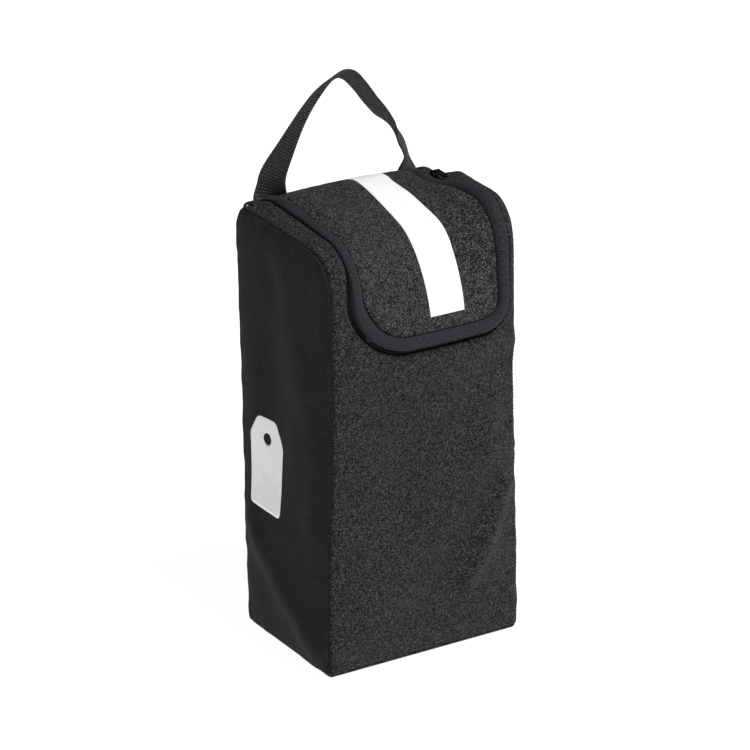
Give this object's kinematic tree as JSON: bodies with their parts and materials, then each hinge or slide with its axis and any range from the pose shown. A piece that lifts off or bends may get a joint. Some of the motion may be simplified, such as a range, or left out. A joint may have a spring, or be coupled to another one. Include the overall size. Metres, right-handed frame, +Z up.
{
  "type": "shoe bag",
  "caption": "Tall soft box bag for a pair of shoes, with a hooded zip lid, bound lid edge, inside seams and a twisted webbing carrying handle.",
  "frame": {"origin": "middle of the base, on the surface that the bag stands on", "axes": "+Z up, front of the bag with the lid's drop towards -Y, +X to the right when facing the back"},
  "size_m": [0.183, 0.1644, 0.4679],
  "materials": {
    "shell_cloth": "woven polyester, matt, fine speckle",
    "side_cloth": "smooth woven polyester, matt",
    "side_mesh": "knitted mesh over lining",
    "lid_cloth": "woven polyester, matt, fine speckle",
    "lining": "thin plain-weave lining",
    "binding_tape": "ribbed binding tape, matt",
    "zip_tape": "woven zip tape",
    "zip_coil": "satin nylon coil",
    "zip_metal": "dark enamel, semi-gloss",
    "webbing": "coarse ribbed polypropylene webbing",
    "white_print": "flat screen print",
    "label": "blank satin label"
  },
  "bodies": {
    "shell": {"front_panel": "shell_cloth", "back_panel": "shell_cloth", "base_panel": "shell_cloth", "side_panel_left": "side_cloth", "side_panel_right": "side_mesh", "seam_binding_left": "binding_tape", "seam_binding_right": "binding_tape", "base_seam_binding_front": "binding_tape", "base_seam_binding_back": "binding_tape", "lid_seam_tape": "binding_tape", "zip_tape_body": "zip_tape", "zip_coil_body": "zip_coil", "zip_end_stop_left": "zip_metal", "zip_end_stop_right": "zip_metal", "zip_end_tab_left": "shell_cloth", "zip_end_tab_right": "shell_cloth", "side_print_mark": "white_print", "care_label": "label"},
    "lid": {"lid_panel": "lid_cloth", "lid_lining": "lining", "lid_binding": "binding_tape", "zip_tape_lid": "zip_tape", "zip_coil_lid": "zip_coil", "lid_print_band": "white_print", "handle_base_left": "webbing", "handle_base_right": "webbing"},
    "handle": {"handle_strap": "webbing"},
    "slider": {"slider_body": "zip_metal", "slider_bridge": "zip_metal"},
    "pull": {"pull_tab": "zip_metal"}
  },
  "joints": [
    {"name": "lid_hinge", "type": "hinge", "parent": "shell", "child": "lid", "pos_m": [0, 0.0704, 0.36469], "axis": [-1, 0, 0], "range_deg": [0, 105]},
    {"name": "handle_swing", "type": "hinge", "parent": "lid", "child": "handle", "pos_m": [0, 0.0704, 0.37369], "axis": [-1, 0, 0], "range_deg": [-46, 42]},
    {"name": "slider_travel", "type": "slide", "parent": "lid", "child": "slider", "axis": [-0.0148, -0.9977, -0.0665], "range_m": [0, 0.01]},
    {"name": "pull_flip", "type": "hinge", "parent": "slider", "child": "pull", "pos_m": [0.07503, 0.03151, 0.37835], "axis": [-0.9999, 0.0148, 0.001], "range_deg": [0, 110]}
  ]
}
